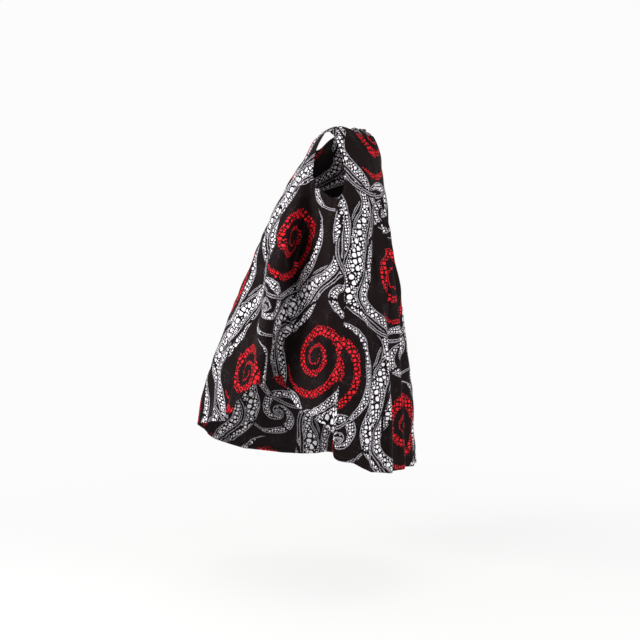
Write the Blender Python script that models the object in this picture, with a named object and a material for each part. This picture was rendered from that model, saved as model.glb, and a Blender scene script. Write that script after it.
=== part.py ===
"""Sleeveless swing dress in printed cotton, cut in two flared panels.

The dress keeps the hollow form that it has on its wearer. Its front is gathered up at the left
side and swung forward into a wide wing, and its back hangs from the shoulder blades.

Frame: metres, +Z up, the front of the dress towards -Y, the wearer's left towards +X.
Origin: midway between the two shoulder tips, at the height of the shoulder seams.
Angles are degrees round the dress, from the front (0) towards the wearer's left (90).
"""

import math
from collections import namedtuple

import bpy
import numpy as np

# Cloth and seams
CLOTH_THICKNESS = 0.0018
SEAM_GAP = 0.0003

# Neckline and shoulder seams
NECK_HALF_WIDTH = 0.088
NECK_RISE = 0.018
FRONT_NECK_DROP = 0.058
BACK_NECK_DROP = 0.012
NECK_CURVE = 1.6
SHOULDER_TIP_X = 0.152
SHOULDER_FALL = 0.090

# Depth of the armholes, and how their columns crowd towards the underarm
ARMHOLE_DEPTH = 0.205
ARMHOLE_CROWDING = 0.8

# Height below which every column of cloth hangs straight down its own angle
CHEST_HEIGHT = -0.270

# Half panels: angles from the panel's middle to its neck point, shoulder tip and side seam, turn
# of the underarm point round the section, how far the armhole curves in, and columns of cloth
Half = namedtuple("Half", "middle side neck tip seam underarm pull neck_columns side_columns")
FRONT_RIGHT_HALF = Half(0.0, -1.0, 37.0, 46.0, 92.0, 91.0, 6.0, 8, 12)
FRONT_LEFT_HALF = Half(0.0, 1.0, 37.0, 46.0, 109.0, 107.0, 6.0, 9, 27)
BACK_LEFT_HALF = Half(180.0, -1.0, 50.0, 61.0, 71.0, 73.0, 9.0, 11, 7)
BACK_RIGHT_HALF = Half(180.0, 1.0, 50.0, 61.0, 88.0, 89.0, 9.0, 11, 10)
SHOULDER_COLUMNS = 5

# How the columns below an armhole crowd towards the shoulder tip
TIP_CROWDING = 1.4

# Rows of cloth from the top edge to the hem, and how they crowd towards the top
ROWS = 26
ROW_CROWDING = 1.4

# Height at which the columns of a half panel are evenly spaced
SPACING_HEIGHT = -0.80

# Section of the skirt at a height: centre, and reach to the front, back, left and right
SECTIONS = (
    # height, front, back, left, right
    (0.020, 0.100, 0.085, 0.160, 0.160),
    (-0.060, 0.122, 0.098, 0.164, 0.164),
    (-0.140, 0.178, 0.106, 0.172, 0.172),
    (-0.270, 0.252, 0.120, 0.196, 0.196),
    (-0.430, 0.330, 0.142, 0.220, 0.226),
    (-0.620, 0.410, 0.164, 0.246, 0.262),
    (-0.820, 0.476, 0.178, 0.272, 0.296),
    (-1.110, 0.536, 0.188, 0.300, 0.330),
)
FRONT, BACK, LEFT, RIGHT = 1, 2, 3, 4

# Height of the hem round the dress
HEM = (
    # angle, height
    (0.0, -0.985),
    (22.0, -0.945),
    (38.0, -0.948),
    (43.0, -0.850),
    (48.0, -0.792),
    (54.0, -0.774),
    (60.0, -0.778),
    (70.0, -0.820),
    (82.0, -0.870),
    (102.0, -0.935),
    (109.0, -0.985),
    (116.0, -1.010),
    (125.0, -1.032),
    (155.0, -1.058),
    (180.0, -1.062),
    (225.0, -1.080),
    (270.0, -1.100),
    (300.0, -1.096),
    (325.0, -1.094),
    (342.0, -1.062),
)

# Folds: where the crest runs, where it starts and is full, and how far it stands out and sways
FOLDS = (
    # name, angle, start, full, half_width, out, sway
    ("wing ridge", 54.0, -0.06, -0.42, 15.0, 0.050, 0.048),
    ("ridge roll", 59.0, -0.08, -0.44, 8.0, 0.004, 0.016),
    ("hand valley", 77.0, -0.10, -0.42, 20.0, -0.060, -0.050),
    ("wing flute", 41.0, -0.62, -1.00, 9.0, 0.050, 0.020),
    ("wing dip", 48.0, -0.55, -1.00, 6.0, -0.030, 0.000),
    ("seam flute", 109.0, -0.50, -1.02, 7.0, 0.024, -0.028),
    ("seam dip", 101.0, -0.50, -1.02, 7.0, -0.014, -0.010),
    ("left back fold", 128.0, -0.30, -0.95, 9.0, 0.014, 0.000),
    ("left blade fold", 150.0, -0.16, -0.85, 9.0, 0.016, 0.000),
    ("middle back fold", 176.0, -0.20, -0.90, 10.0, 0.016, 0.000),
    ("right blade fold", 203.0, -0.16, -0.85, 9.0, 0.018, 0.000),
    ("right back fold", 230.0, -0.28, -0.95, 10.0, 0.020, 0.000),
    ("right seam fold", 253.0, -0.32, -0.95, 9.0, 0.024, 0.006),
    ("right fold", 278.0, -0.30, -0.95, 10.0, 0.026, 0.000),
    ("right front fold", 301.0, -0.30, -0.95, 9.0, 0.030, -0.006),
    ("front right fold", 326.0, -0.34, -0.95, 10.0, 0.028, 0.000),
    ("front middle fold", 350.0, -0.40, -0.95, 9.0, 0.022, 0.000),
    ("front wing fold", 12.0, -0.40, -0.95, 8.0, 0.014, 0.000),
)

# Printed cotton: the ground of the print, the back panel a shade lighter
FRONT_COLOUR = (0.030, 0.020, 0.020, 1.0)
BACK_COLOUR = (0.045, 0.032, 0.032, 1.0)
CLOTH_ROUGHNESS = 0.75


def wrapped(angle):
    """Angle brought into -180 to 180."""
    return (np.asarray(angle, dtype=float) + 180.0) % 360.0 - 180.0


def smooth_step(value):
    """Ease from 0 to 1 without corners."""
    value = np.clip(value, 0.0, 1.0)
    return value * value * (3.0 - 2.0 * value)


def curve_through(at, values, places):
    """Smooth curve through a table's values, read at the given places."""
    at = np.asarray(at, dtype=float)
    values = np.asarray(values, dtype=float)
    slopes = np.gradient(values, at)
    places = np.clip(places, at[0], at[-1])
    step = np.clip(np.searchsorted(at, places, side="right") - 1, 0, len(at) - 2)
    width = at[step + 1] - at[step]
    t = (places - at[step]) / width
    return (
        (2 * t**3 - 3 * t**2 + 1) * values[step]
        + (t**3 - 2 * t**2 + t) * width * slopes[step]
        + (-2 * t**3 + 3 * t**2) * values[step + 1]
        + (t**3 - t**2) * width * slopes[step + 1]
    )


def section_size(column, height):
    """One column of the sections table at a height."""
    rows = sorted(SECTIONS)
    return curve_through([row[0] for row in rows], [row[column] for row in rows], height)


def section_reach(turn, height):
    """Half width and depth of the section on the side that a direction in radians points to."""
    across = np.where(np.sin(turn) > 0.0, section_size(LEFT, height), section_size(RIGHT, height))
    along = np.where(np.cos(turn) > 0.0, section_size(FRONT, height), section_size(BACK, height))
    return across, along


def hem_height(angle):
    """Height of the hem at an angle, on a curve that closes round the dress."""
    turns = (-360.0, 0.0, 360.0)
    at = [row[0] + turn for turn in turns for row in HEM]
    heights = [row[1] for _ in turns for row in HEM]
    return curve_through(at, heights, np.asarray(angle, dtype=float) % 360.0)


def fold_shift(angle, height):
    """How far the folds move the cloth outwards and round the dress."""
    out_total = np.zeros(np.broadcast(angle, height).shape)
    sway_total = np.zeros_like(out_total)
    for _, crest, start, full, half_width, out, sway in FOLDS:
        travel = smooth_step((start - height) / (start - full))
        away = np.clip(wrapped(angle - crest) / half_width, -1.0, 1.0)
        lobe = 0.5 + 0.5 * np.cos(math.pi * away)
        out_total = out_total + out * travel * lobe
        sway_total = sway_total + sway * travel * lobe
    return out_total, sway_total


def section_turn(angle, height):
    """Turn round the section's oval, in radians, of the point that lies at an angle."""
    direction = np.radians(angle)
    across, along = section_reach(direction, height)
    turn = np.arctan2(np.sin(direction) / across, np.cos(direction) / along)
    return turn + 2.0 * math.pi * np.round((direction - turn) / (2.0 * math.pi))


def shoulder_round(x, height):
    """Share of its full depth that the cloth has below the slope of the shoulder."""
    slope = NECK_RISE / (SHOULDER_TIP_X - NECK_HALF_WIDTH)
    below = NECK_RISE - (np.abs(x) - NECK_HALF_WIDTH) * slope - height
    share = np.clip(below / SHOULDER_FALL, 0.0, 1.0)
    return np.sqrt(1.0 - (1.0 - share) ** 2)


def cloth_point(angle, turn, height):
    """Plan position of the cloth at a turn round its oval, moved by the folds at its angle."""
    across, along = section_reach(turn, height)
    out, sway = fold_shift(angle, height)
    direction = np.radians(angle)
    x = across * np.sin(turn)
    y = -along * shoulder_round(x, height) * np.cos(turn)
    x = x + out * np.sin(direction) + sway * np.cos(direction)
    y = y - out * np.cos(direction) + sway * np.sin(direction)
    return x, y


def skirt_point(angle, height):
    """Plan position of the skirt's cloth at an angle and a height below the chest."""
    return cloth_point(angle, section_turn(angle, height), height)


def neckline_start(half, share):
    """Height, turn and ease of a column that starts a share of the way round the neckline."""
    quarter = 0.5 * math.pi * share
    drop = FRONT_NECK_DROP if half.middle == 0.0 else BACK_NECK_DROP
    height = NECK_RISE - (drop + NECK_RISE) * math.cos(quarter) ** NECK_CURVE
    turn = math.asin(NECK_HALF_WIDTH * math.sin(quarter) / section_size(LEFT, height))
    return height, turn, share**2


def shoulder_start(share):
    """Height, turn and ease of a column that starts a share of the way down the shoulder seam."""
    height = NECK_RISE * (1.0 - share)
    half_width = NECK_HALF_WIDTH + (SHOULDER_TIP_X - NECK_HALF_WIDTH) * share
    return height, math.asin(half_width / section_size(LEFT, height)), 1.0


def armhole_start(half, share):
    """Height, turn and ease of a column that starts a share of the way down the armhole."""
    quarter = 0.5 * math.pi * share
    height = -ARMHOLE_DEPTH * math.sin(quarter)
    tip = math.asin(SHOULDER_TIP_X / section_size(LEFT, 0.0))
    turn = tip + (math.radians(half.underarm) - tip) * (1.0 - math.cos(quarter))
    turn = turn - math.radians(half.pull) * math.sin(2.0 * quarter)
    return height, turn, 1.0


def column_start(half, away):
    """Where a column starts on a half panel's top edge: height, turn from the middle, and ease."""
    if away <= half.neck:
        return neckline_start(half, away / half.neck)
    if away <= half.tip:
        return shoulder_start((away - half.neck) / (half.tip - half.neck))
    share = (away - half.tip) / (half.seam - half.tip)
    return armhole_start(half, share**ARMHOLE_CROWDING)


def even_places(points, places, count, crowding=1.0):
    """Places that part a line of points evenly along its length, or crowd towards its start."""
    steps = np.linalg.norm(np.diff(points, axis=0), axis=1)
    along = np.concatenate(((0.0,), np.cumsum(steps)))
    return np.interp(along[-1] * (np.arange(count + 1) / count) ** crowding, along, places)


def column_cloth(half, away, height, start, start_turn, ease):
    """Mid-surface points of a column at some heights below its start."""
    angle = half.middle + half.side * away
    rest = 1.0 - np.sqrt(np.clip((start - height) / (start - CHEST_HEIGHT), 0.0, 1.0))
    lead = smooth_step(rest) + ease * (rest**2 - smooth_step(rest))
    turn = section_turn(angle, np.minimum(height, CHEST_HEIGHT))
    turn = turn + (math.radians(half.middle) + half.side * start_turn - turn) * lead
    x, y = cloth_point(angle, turn, height)
    return np.stack((x, y, height), axis=-1)


def column_points(half, away):
    """Points down one column, an angle away from the panel's middle, from top edge to hem."""
    start, start_turn, ease = column_start(half, away)
    hem = float(hem_height(half.middle + half.side * away))
    fine = start + (hem - start) * np.linspace(0.0, 1.0, 200) ** 2
    line = column_cloth(half, away, fine, start, start_turn, ease)
    height = even_places(line, fine, ROWS, ROW_CROWDING)
    return column_cloth(half, away, height, start, start_turn, ease)


def even_angles(half, start, end, count, crowding=1.0):
    """Angles away from the middle that part the cloth evenly at the spacing height."""
    fine = np.linspace(start, end, 400)
    x, y = skirt_point(half.middle + half.side * fine, np.full_like(fine, SPACING_HEIGHT))
    return even_places(np.stack((x, y), axis=-1), fine, count, crowding)


def half_grid(half):
    """Columns of mid-surface points of a half panel, from its middle to its side seam."""
    neck = even_angles(half, 0.0, half.neck, half.neck_columns)
    shoulder = np.linspace(half.neck, half.tip, SHOULDER_COLUMNS + 1)
    side = even_angles(half, half.tip, half.seam, half.side_columns, TIP_CROWDING)
    return [column_points(half, away) for away in (*neck, *shoulder[1:], *side[1:])]


def panel_grid(low_half, high_half):
    """Mid-surface points of a panel, one column for each angle and one row for each step down."""
    return np.array(half_grid(low_half)[:0:-1] + half_grid(high_half))


def unit(vectors):
    """Vectors scaled to a length of one."""
    return vectors / np.linalg.norm(vectors, axis=-1, keepdims=True)


def summed_normals(grid):
    """Sum, at each point of a panel's grid, of the outward normals of the faces around it."""
    across = grid[1:, 1:] - grid[:-1, :-1]
    down = grid[:-1, 1:] - grid[1:, :-1]
    faces = np.cross(down, across)
    total = np.zeros_like(grid)
    for columns in (slice(None, -1), slice(1, None)):
        for rows in (slice(None, -1), slice(1, None)):
            total[columns, rows] += faces
    return total


def shoulder_columns(low_half, high_half):
    """Grid columns of a panel's two shoulder seams, each from its neck point to its tip."""
    low_neck = low_half.side_columns + SHOULDER_COLUMNS
    high_neck = low_neck + low_half.neck_columns + high_half.neck_columns
    low = [low_neck - step for step in range(SHOULDER_COLUMNS + 1)]
    high = [high_neck + step for step in range(SHOULDER_COLUMNS + 1)]
    return low, high


def join_normals(front_sums, back_sums, front_shoulders, back_shoulders):
    """Give the two sides of each seam the same normals, so that the cut edges lie parallel."""
    seams = (
        ((-1, slice(None)), (0, slice(None))),
        ((0, slice(None)), (-1, slice(None))),
        ((front_shoulders[1], 0), (back_shoulders[0], 0)),
        ((front_shoulders[0], 0), (back_shoulders[1], 0)),
    )
    for front_at, back_at in seams:
        both = front_sums[front_at] + back_sums[back_at]
        front_sums[front_at] = both
        back_sums[back_at] = both


def open_seams(grid, shoulders):
    """Draw the sewn edges of a panel back by half of the gap at a seam."""
    half_gap = 0.5 * SEAM_GAP
    opened = grid.copy()
    opened[0] += half_gap * unit(grid[1] - grid[0])
    opened[-1] += half_gap * unit(grid[-2] - grid[-1])
    for columns in shoulders:
        opened[columns, 0] += half_gap * unit(grid[columns, 1] - grid[columns, 0])
    return opened


def add_panel(name, grid, normals, material):
    """Make a panel's closed wall from its mid surface, half of the cloth to each side."""
    columns, rows = grid.shape[:2]
    half = 0.5 * CLOTH_THICKNESS * unit(normals)
    points = np.concatenate(((grid + half).reshape(-1, 3), (grid - half).reshape(-1, 3)))
    layer = columns * rows
    faces = []
    for column in range(columns - 1):
        for row in range(rows - 1):
            a = column * rows + row
            cell = (a, a + 1, a + rows + 1, a + rows)
            falling = np.linalg.norm(grid[column, row] - grid[column + 1, row + 1])
            rising = np.linalg.norm(grid[column, row + 1] - grid[column + 1, row])
            if rising < falling:
                cell = cell[1:] + cell[:1]
            for corners in (cell[:3], (cell[0], cell[2], cell[3])):
                faces.append(corners)
                faces.append(tuple(layer + corner for corner in reversed(corners)))
    top = [column * rows for column in range(columns)]
    hem = [column * rows + rows - 1 for column in range(columns)]
    low_side = list(range(rows))
    high_side = [(columns - 1) * rows + row for row in range(rows)]
    outline = top[::-1] + low_side[1:] + hem[1:] + high_side[-2:0:-1]
    for start, end in zip(outline, outline[1:] + outline[:1]):
        faces += [(start, layer + start, end), (end, layer + start, layer + end)]
    mesh = bpy.data.meshes.new(name)
    mesh.from_pydata(points.tolist(), [], faces)
    mesh.materials.append(material)
    mesh.shade_smooth()
    mesh.set_sharp_from_angle(angle=math.radians(60.0))
    panel = bpy.data.objects.new(name, mesh)
    bpy.context.scene.collection.objects.link(panel)
    return panel


def cotton(name, colour):
    """Plain-weave printed cotton."""
    material = bpy.data.materials.new(name)
    material.use_nodes = True
    shader = material.node_tree.nodes["Principled BSDF"]
    shader.inputs["Base Color"].default_value = colour
    shader.inputs["Roughness"].default_value = CLOTH_ROUGHNESS
    shader.inputs["Metallic"].default_value = 0.0
    return material


def main():
    """Build the front and back panels."""
    for old in list(bpy.data.objects):
        bpy.data.objects.remove(old, do_unlink=True)
    front = panel_grid(FRONT_RIGHT_HALF, FRONT_LEFT_HALF)
    back = panel_grid(BACK_LEFT_HALF, BACK_RIGHT_HALF)
    front_shoulders = shoulder_columns(FRONT_RIGHT_HALF, FRONT_LEFT_HALF)
    back_shoulders = shoulder_columns(BACK_LEFT_HALF, BACK_RIGHT_HALF)
    front_normals = summed_normals(front)
    back_normals = summed_normals(back)
    join_normals(front_normals, back_normals, front_shoulders, back_shoulders)
    front_cloth = cotton("front_cotton", FRONT_COLOUR)
    back_cloth = cotton("back_cotton", BACK_COLOUR)
    add_panel("front_panel", open_seams(front, front_shoulders), front_normals, front_cloth)
    add_panel("back_panel", open_seams(back, back_shoulders), back_normals, back_cloth)


if __name__ == "__main__":
    main()
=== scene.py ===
"""Look of the sleeveless swing dress: printed cotton panels, their sewing and the stage.

Frame: metres, +Z up, the front of the dress towards -Y, the wearer's left towards +X. The origin
is midway between the shoulder tips. Angles are degrees round the dress, from the front (0)
towards the wearer's left (90).
"""

import math
from collections import namedtuple

import bpy
import numpy as np
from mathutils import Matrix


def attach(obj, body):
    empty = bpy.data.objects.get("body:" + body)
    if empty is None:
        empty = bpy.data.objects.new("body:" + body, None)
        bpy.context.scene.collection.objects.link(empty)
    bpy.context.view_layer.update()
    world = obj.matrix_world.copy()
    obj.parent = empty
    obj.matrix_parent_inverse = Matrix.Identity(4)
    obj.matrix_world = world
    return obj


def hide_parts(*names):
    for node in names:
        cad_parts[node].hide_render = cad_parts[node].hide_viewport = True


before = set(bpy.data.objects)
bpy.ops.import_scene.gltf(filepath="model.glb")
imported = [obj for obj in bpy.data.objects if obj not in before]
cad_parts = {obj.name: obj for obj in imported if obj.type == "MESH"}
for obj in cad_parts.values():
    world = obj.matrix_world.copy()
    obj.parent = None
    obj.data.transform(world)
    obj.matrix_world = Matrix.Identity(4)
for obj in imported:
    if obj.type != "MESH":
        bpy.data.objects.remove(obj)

bl_info = {
    "name": "Wax print swing dress",
    "version": (1, 0, 0),
    "blender": (4, 5, 0),
    "location": "View3D > Sidebar > Dress",
    "description": "Sewn panels, turned edges, stitches and stage of a printed cotton dress",
    "category": "Object",
}

# Neckline, shoulder seams and armholes
NECK_HALF_WIDTH = 0.088
NECK_RISE = 0.018
FRONT_NECK_DROP = 0.058
BACK_NECK_DROP = 0.012
NECK_CURVE = 1.6
SHOULDER_TIP_X = 0.152
SHOULDER_FALL = 0.090
ARMHOLE_DEPTH = 0.205
ARMHOLE_CROWDING = 0.8

# Height below which every column of cloth hangs straight down its own angle
CHEST_HEIGHT = -0.270

# Half panels: angles from the panel's middle to its neck point, shoulder tip and side seam, turn
# of the underarm point round the section, how far the armhole curves in, and columns of cloth
Half = namedtuple("Half", "middle side neck tip seam underarm pull neck_columns side_columns")
FRONT_RIGHT_HALF = Half(0.0, -1.0, 37.0, 46.0, 92.0, 91.0, 6.0, 34, 54)
FRONT_LEFT_HALF = Half(0.0, 1.0, 37.0, 46.0, 109.0, 107.0, 6.0, 38, 104)
BACK_LEFT_HALF = Half(180.0, -1.0, 50.0, 61.0, 71.0, 73.0, 9.0, 44, 28)
BACK_RIGHT_HALF = Half(180.0, 1.0, 50.0, 61.0, 88.0, 89.0, 9.0, 44, 38)
SHOULDER_COLUMNS = 14

# Spacing of the columns: the height at which they are evenly apart, how much closer they stand at
# a shoulder tip, and where two more stand in the last step before a side seam
SPACING_HEIGHT = -0.80
TIP_CROWDING = 1.4
SEAM_STEPS = (0.35, 0.75)

# Steps in which a ring and a column of cloth are measured before their points are placed, and the
# step in rows and columns at which the flat cut is worked out
RING_STEPS = 800
COLUMN_STEPS = 400
COARSE_STEP = 3

# Rows of points: set distances from the top edge and from the hem, and the rows between them. The
# edges are turned in below the second hem row and above the last top row, and each line of
# stitching lies between the third and fourth row of its list
TOP_ROWS = (0.0, 0.0012, 0.0040, 0.0066, 0.0076)
HEM_ROWS = (0.0220, 0.0160, 0.0148, 0.0080, 0.0012, 0.0)
MIDDLE_ROWS = 128
ROW_CROWDING = 1.25

# Section of the skirt at a height: centre, and reach to the front, back, left and right
SECTIONS = (
    # height, front, back, left, right
    (0.020, 0.100, 0.085, 0.160, 0.160),
    (-0.060, 0.122, 0.098, 0.164, 0.164),
    (-0.140, 0.178, 0.106, 0.172, 0.172),
    (-0.270, 0.252, 0.120, 0.196, 0.196),
    (-0.430, 0.330, 0.142, 0.220, 0.226),
    (-0.620, 0.410, 0.164, 0.246, 0.262),
    (-0.820, 0.476, 0.178, 0.272, 0.296),
    (-1.110, 0.536, 0.188, 0.300, 0.330),
)
FRONT, BACK, LEFT, RIGHT = 1, 2, 3, 4

# Height of the hem round the dress
HEM = (
    # angle, height
    (0.0, -0.985),
    (12.0, -0.944),
    (24.0, -0.920),
    (35.0, -0.898),
    (40.0, -0.872),
    (44.0, -0.815),
    (48.0, -0.782),
    (54.0, -0.772),
    (60.0, -0.772),
    (66.0, -0.758),
    (72.0, -0.753),
    (78.0, -0.799),
    (83.0, -0.842),
    (92.0, -0.876),
    (102.0, -0.906),
    (109.0, -0.985),
    (116.0, -1.010),
    (125.0, -1.032),
    (155.0, -1.058),
    (180.0, -1.062),
    (225.0, -1.080),
    (270.0, -1.100),
    (300.0, -1.096),
    (325.0, -1.094),
    (342.0, -1.062),
)

# Folds: where the crest runs, the heights where it starts and is full, and how far it stands out
# and sways towards higher angles
FOLDS = (
    # name, angle, start, full, half_width, out, sway
    ("wing ridge", 54.0, -0.06, -0.42, 15.0, 0.050, 0.048),
    ("ridge roll", 59.0, -0.08, -0.44, 8.0, 0.004, 0.016),
    ("hand valley", 77.0, -0.10, -0.42, 20.0, -0.060, -0.050),
    ("wing flute", 41.0, -0.62, -1.00, 9.0, 0.050, 0.020),
    ("wing dip", 48.0, -0.55, -1.00, 6.0, -0.030, 0.000),
    ("seam flute", 109.0, -0.50, -1.02, 7.0, 0.024, -0.028),
    ("seam dip", 101.0, -0.50, -1.02, 7.0, -0.014, -0.010),
    ("left back fold", 128.0, -0.30, -0.95, 9.0, 0.014, 0.000),
    ("left blade fold", 150.0, -0.16, -0.85, 9.0, 0.016, 0.000),
    ("middle back fold", 176.0, -0.20, -0.90, 10.0, 0.016, 0.000),
    ("right blade fold", 203.0, -0.16, -0.85, 9.0, 0.018, 0.000),
    ("right back fold", 230.0, -0.28, -0.95, 10.0, 0.020, 0.000),
    ("right seam fold", 253.0, -0.32, -0.95, 9.0, 0.024, 0.006),
    ("right fold", 278.0, -0.30, -0.95, 10.0, 0.026, 0.000),
    ("right front fold", 301.0, -0.30, -0.95, 9.0, 0.030, -0.006),
    ("front right fold", 326.0, -0.34, -0.95, 10.0, 0.028, 0.000),
    ("front middle fold", 350.0, -0.40, -0.95, 9.0, 0.022, 0.000),
    ("front wing fold", 12.0, -0.40, -0.95, 8.0, 0.014, 0.000),
    ("ridge overhang", 57.5, -0.14, -0.40, 5.5, 0.006, 0.008),
    ("valley cut", 65.5, -0.14, -0.42, 6.5, -0.026, -0.010),
    ("valley tuck", 76.0, -0.20, -0.46, 14.0, 0.000, -0.032),
    ("ridge lean", 58.0, -0.14, -0.42, 16.0, 0.000, -0.024),
    ("low lean", 62.0, -0.40, -0.80, 18.0, 0.000, -0.032),
)

# Slight unevenness of the cloth: waves over the flat cut, and how far and how fast they wander
RIPPLE_WANDER = 1.3
RIPPLE_PACE = 0.37
RIPPLES = (
    # length, turn, phase, height
    (0.173, 12.0, 0.4, 0.0020),
    (0.121, 158.0, 2.1, 0.0016),
    (0.083, 81.0, 4.4, 0.0008),
    (0.064, 22.0, 1.2, 0.0009),
)

# Creases: soft ridges and troughs from one place to another, the depth negative in a trough
CREASES = (
    # name, angle, height, end_angle, end_height, half_width, depth
    ("ridge edge", 59.0, -0.12, 56.0, -0.90, 0.012, 0.006),
    ("ridge foot", 61.0, -0.16, 64.0, -0.90, 0.015, -0.010),
    ("hand pull up", 58.0, -0.35, 33.0, -0.17, 0.010, 0.0055),
    ("hand pull over", 58.0, -0.37, 26.0, -0.30, 0.011, -0.0050),
    ("hand pull across", 58.0, -0.38, 28.0, -0.46, 0.013, 0.0055),
    ("hand pull down", 58.0, -0.40, 36.0, -0.64, 0.014, -0.0060),
    ("hand fold", 63.0, -0.36, 80.0, -0.56, 0.012, -0.0075),
    ("hand fold low", 63.0, -0.39, 75.0, -0.72, 0.013, 0.0080),
    ("hand fold far", 66.0, -0.43, 92.0, -0.74, 0.014, -0.0070),
    ("underarm drag", 100.0, -0.215, 78.0, -0.33, 0.009, -0.0050),
    ("underarm drag back", 114.0, -0.220, 130.0, -0.37, 0.010, -0.0060),
    ("underarm hang", 104.0, -0.26, 100.0, -0.62, 0.012, 0.0050),
    ("wing fold", 34.0, -0.62, 40.5, -1.10, 0.009, 0.0080),
    ("wing fold side", 38.0, -0.66, 45.5, -1.10, 0.010, -0.0100),
    ("wing hang", 26.0, -0.40, 25.0, -1.10, 0.018, 0.0065),
    ("wing soft", 18.0, -0.52, 17.0, -1.10, 0.015, -0.0075),
    ("wing chest", 12.0, -0.14, 22.0, -0.60, 0.017, -0.0040),
    ("side hang", 84.0, -0.50, 80.0, -1.00, 0.014, 0.0050),
    ("side trough", 92.0, -0.44, 88.0, -1.05, 0.016, -0.0070),
    ("side soft", 98.0, -0.42, 96.0, -1.10, 0.012, 0.0040),
    ("seam flute top", 108.0, -0.70, 110.5, -1.15, 0.010, 0.0060),
    ("back hang one", 121.0, -0.34, 120.0, -1.20, 0.018, 0.0065),
    ("back trough one", 132.0, -0.42, 131.0, -1.20, 0.015, -0.0080),
    ("back hang two", 147.0, -0.50, 149.0, -1.20, 0.014, 0.0075),
    ("blade trough", 177.0, -0.155, 167.0, -0.66, 0.010, -0.0125),
    ("blade ridge", 174.0, -0.160, 156.0, -0.62, 0.012, 0.0120),
    ("blade drag", 170.0, -0.165, 139.0, -0.50, 0.011, -0.0110),
    ("blade drag high", 166.0, -0.150, 131.0, -0.30, 0.010, 0.0080),
    ("blade middle", 181.0, -0.160, 183.0, -0.74, 0.011, 0.0100),
    ("blade side", 185.0, -0.165, 196.0, -0.58, 0.010, -0.0120),
    ("blade far ridge", 189.0, -0.170, 211.0, -0.66, 0.013, 0.0050),
    ("blade far drag", 193.0, -0.175, 226.0, -0.50, 0.012, -0.0045),
    ("back low trough", 163.0, -0.60, 162.0, -1.20, 0.013, -0.0050),
    ("back low hang", 190.0, -0.66, 191.0, -1.20, 0.014, -0.0045),
    ("back right trough", 216.0, -0.52, 217.0, -1.20, 0.015, -0.0060),
    ("right back hang", 238.0, -0.44, 241.0, -1.20, 0.014, -0.0050),
    ("right seam drag", 262.0, -0.215, 246.0, -0.38, 0.010, -0.0035),
    ("right underarm", 272.0, -0.215, 286.0, -0.40, 0.011, -0.0035),
    ("right trough", 266.0, -0.42, 265.0, -1.20, 0.016, -0.0060),
    ("right hang", 284.0, -0.50, 285.0, -1.20, 0.012, 0.0045),
    ("right front trough", 290.0, -0.36, 289.5, -1.20, 0.016, -0.0065),
    ("right chest drag", 318.0, -0.160, 304.0, -0.44, 0.013, 0.0040),
    ("front right trough", 313.0, -0.44, 313.0, -1.20, 0.017, -0.0060),
    ("front right hang", 332.0, -0.56, 331.0, -1.20, 0.013, 0.0045),
    ("chest fold", 336.0, -0.150, 333.0, -0.52, 0.014, -0.0045),
    ("front trough", 339.0, -0.48, 339.0, -1.20, 0.016, -0.0055),
    ("chest middle", 352.0, -0.130, 351.0, -0.46, 0.015, 0.0035),
    ("front soft", 2.0, -0.36, 1.0, -1.20, 0.016, -0.0050),
)

# Shape of a crease: shares of its length over which it grows and dies away, how sharp its sides
# are, and the height beyond its ends over which the cloth's reach from the axis is averaged
CREASE_START = 0.16
CREASE_END = 0.30
CREASE_SHARPNESS = 1.5
CREASE_MARGIN = 0.03

# Wall: share of its thickness left at a cut edge, which rounds it, the slack in finding the rows
# that are turned in, and the least angle in degrees that stays a sharp edge
EDGE_ROUNDING = 0.4
ROW_SLACK = 1e-4
SHARP_ANGLE = 60.0

# Stitch: sides and rings of its bead of thread, which is made 1 m across and then scaled
STITCH_SIDES = 6
STITCH_RINGS = 4

# Print: half-drop repeat of scrolls and waving bands, in metres of the flat cut
REPEAT_WIDTH = 0.320
REPEAT_LENGTH = 0.460

# Centres of the spiral motifs: place in the repeat, lean in degrees and how far they are stretched
MOTIF_CENTRES = (
    # name, across, up, lean, stretch
    ("scroll", 0.0, 0.0, 0.0, 1.15),
    ("comma", 0.0, 0.5 * REPEAT_LENGTH, 20.0, 0.8),
)

# Arms of the motifs: turn in degrees, radians of winding for each e-fold of the radius, radius at
# start and end, half width as a share of the radius, and where along the arm it is widest
Arm = namedtuple("Arm", "name centre turn winding start end width peak")
ARMS = (
    Arm("red_arm", "scroll", 34.0, -7.6, 0.008, 0.125, 0.21, 0.78),
    Arm("outer_arm", "scroll", 205.0, -7.6, 0.104, 0.160, 0.09, 0.50),
    Arm("comma_arm", "comma", 69.0, 2.5, 0.012, 0.112, 0.24, 0.60),
    Arm("comma_tail", "comma", 249.0, 2.5, 0.012, 0.100, 0.20, 0.60),
)

# Taper of an arm towards its two ends: its power, and the least share of its width
ARM_TAPER = 0.6
ARM_LEAST = 1e-6

# Waving band and the narrower one beside it: how far they bow and skew, their greatest half
# widths, the share by which they swell and in what phase of the wave, and the gap between them
WAVE_BOW = 0.052
WAVE_SKEW = 0.014
WAVE_HALF_WIDTH = 0.031
WAVE_SWELL = 0.38
WAVE_PHASE = 2.0
SIDE_HALF_WIDTH = 0.014
SIDE_SWELL = 0.48
SIDE_PHASE = -2.9
SIDE_GAP = 0.016

# Bare disc under a scroll: its radius, and what it gives in place of a band: a distance in half
# widths that lies outside every band, and a half width in metres
SCROLL_DISC = 0.122
BARE_AWAY = 9.0
BARE_HALF_WIDTH = 0.01

# Motifs from the lowest to the topmost, with how far each hides what it lies on
LAYERS = (
    # name, red, halo
    ("comma_tail", 0.0, 0.0),
    ("comma_arm", 0.0, -0.009),
    ("side", 0.0, -0.009),
    ("wave", 0.0, -0.009),
    ("outer_arm", 0.0, -0.009),
    ("disc", 0.0, 0.0),
    ("red_arm", 1.0, -0.004),
)

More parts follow.
